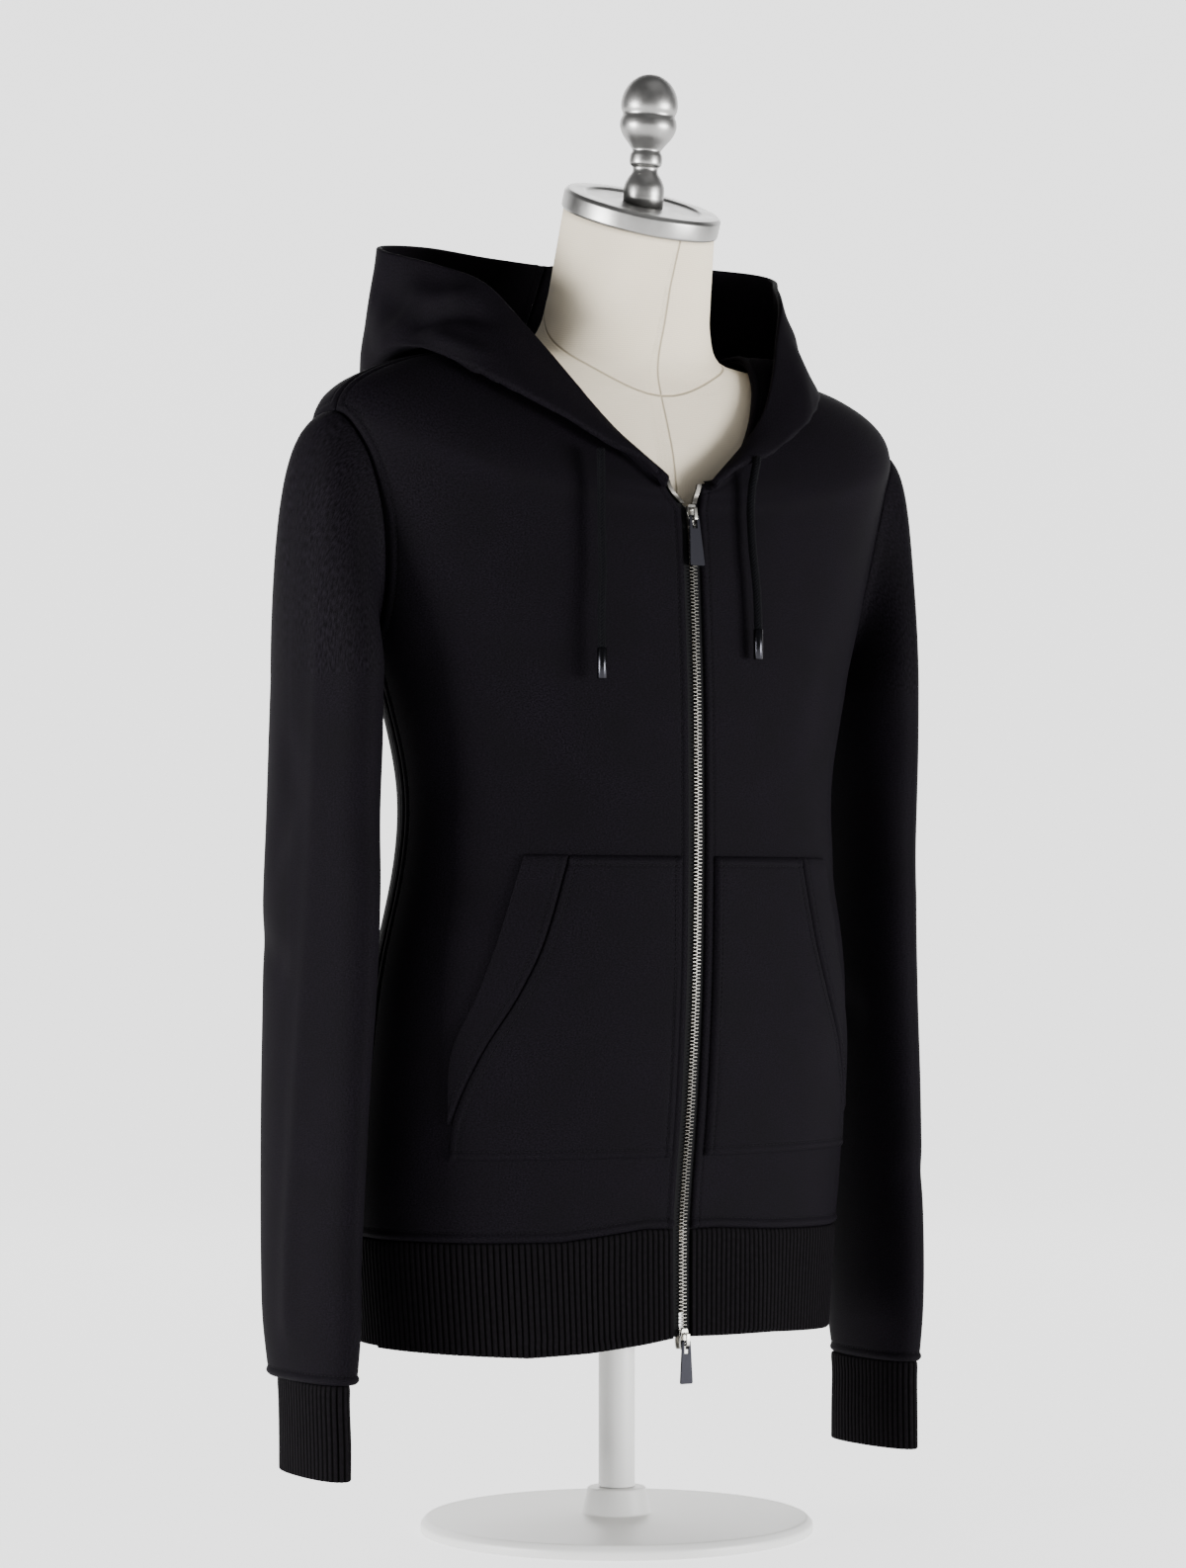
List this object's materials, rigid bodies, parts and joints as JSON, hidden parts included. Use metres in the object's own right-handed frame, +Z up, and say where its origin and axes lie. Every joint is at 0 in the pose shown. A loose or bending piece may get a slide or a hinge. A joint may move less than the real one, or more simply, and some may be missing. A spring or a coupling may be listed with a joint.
{
  "type": "hooded full-zip sweater on a limbless tailor's form",
  "caption": "Hooded sweater with a full-length zip, patch pockets, drawcords and ribbed cuffs and hem, worn open-necked by a limbless dress form on a short stand.",
  "frame": {"origin": "middle of the underside of the stand's base, on the floor", "axes": "+Z up, -Y the way the zip faces, +X the wearer's left"},
  "size_m": [0.498, 0.2997, 0.9931],
  "materials": {
    "jersey": "matt",
    "rib_knit": "matt",
    "zip_tape": "matt",
    "zip_teeth": "satin nickel plate",
    "zip_slider": "polished nickel plate",
    "pull_tab": "matt lacquer",
    "drawcord": "braided",
    "cord_tip": "gunmetal plate",
    "linen": "matt",
    "cast_metal": "polished",
    "stand_paint": "powder coat"
  },
  "bodies": {
    "sweater_and_form": {"front_right": "jersey", "front_left": "jersey", "back": "jersey", "hem_rib": "rib_knit", "sleeve_right": "jersey", "sleeve_left": "jersey", "cuff_right": "rib_knit", "cuff_left": "rib_knit", "hood_right": "jersey", "hood_left": "jersey", "pocket_right": "jersey", "pocket_left": "jersey", "pocket_welt_right": "jersey", "pocket_welt_left": "jersey", "zip_tape_right": "zip_tape", "zip_tape_left": "zip_tape", "zip_row_right": "zip_teeth", "zip_row_left": "zip_teeth", "zip_chain": "zip_teeth", "zip_slider_top": "zip_slider", "zip_slider_bottom": "zip_slider", "cord_right": "drawcord", "cord_left": "drawcord", "cord_tip_right": "cord_tip", "cord_tip_left": "cord_tip", "form_torso": "linen", "form_neck_cap": "cast_metal", "form_knob": "cast_metal", "stand_pole": "stand_paint", "stand_base": "stand_paint"},
    "top_tab": {"pull_tab_top": "pull_tab"},
    "bottom_tab": {"pull_tab_bottom": "pull_tab"}
  },
  "joints": [
    {"name": "top_tab_swing", "type": "hinge", "parent": "sweater_and_form", "child": "top_tab", "pos_m": [0, -0.09478, 0.68891], "axis": [-1, 0, 0], "range_deg": [0, 150]},
    {"name": "bottom_tab_swing", "type": "hinge", "parent": "sweater_and_form", "child": "bottom_tab", "pos_m": [0, -0.08551, 0.13691], "axis": [-1, 0, 0], "range_deg": [0, 150]}
  ]
}
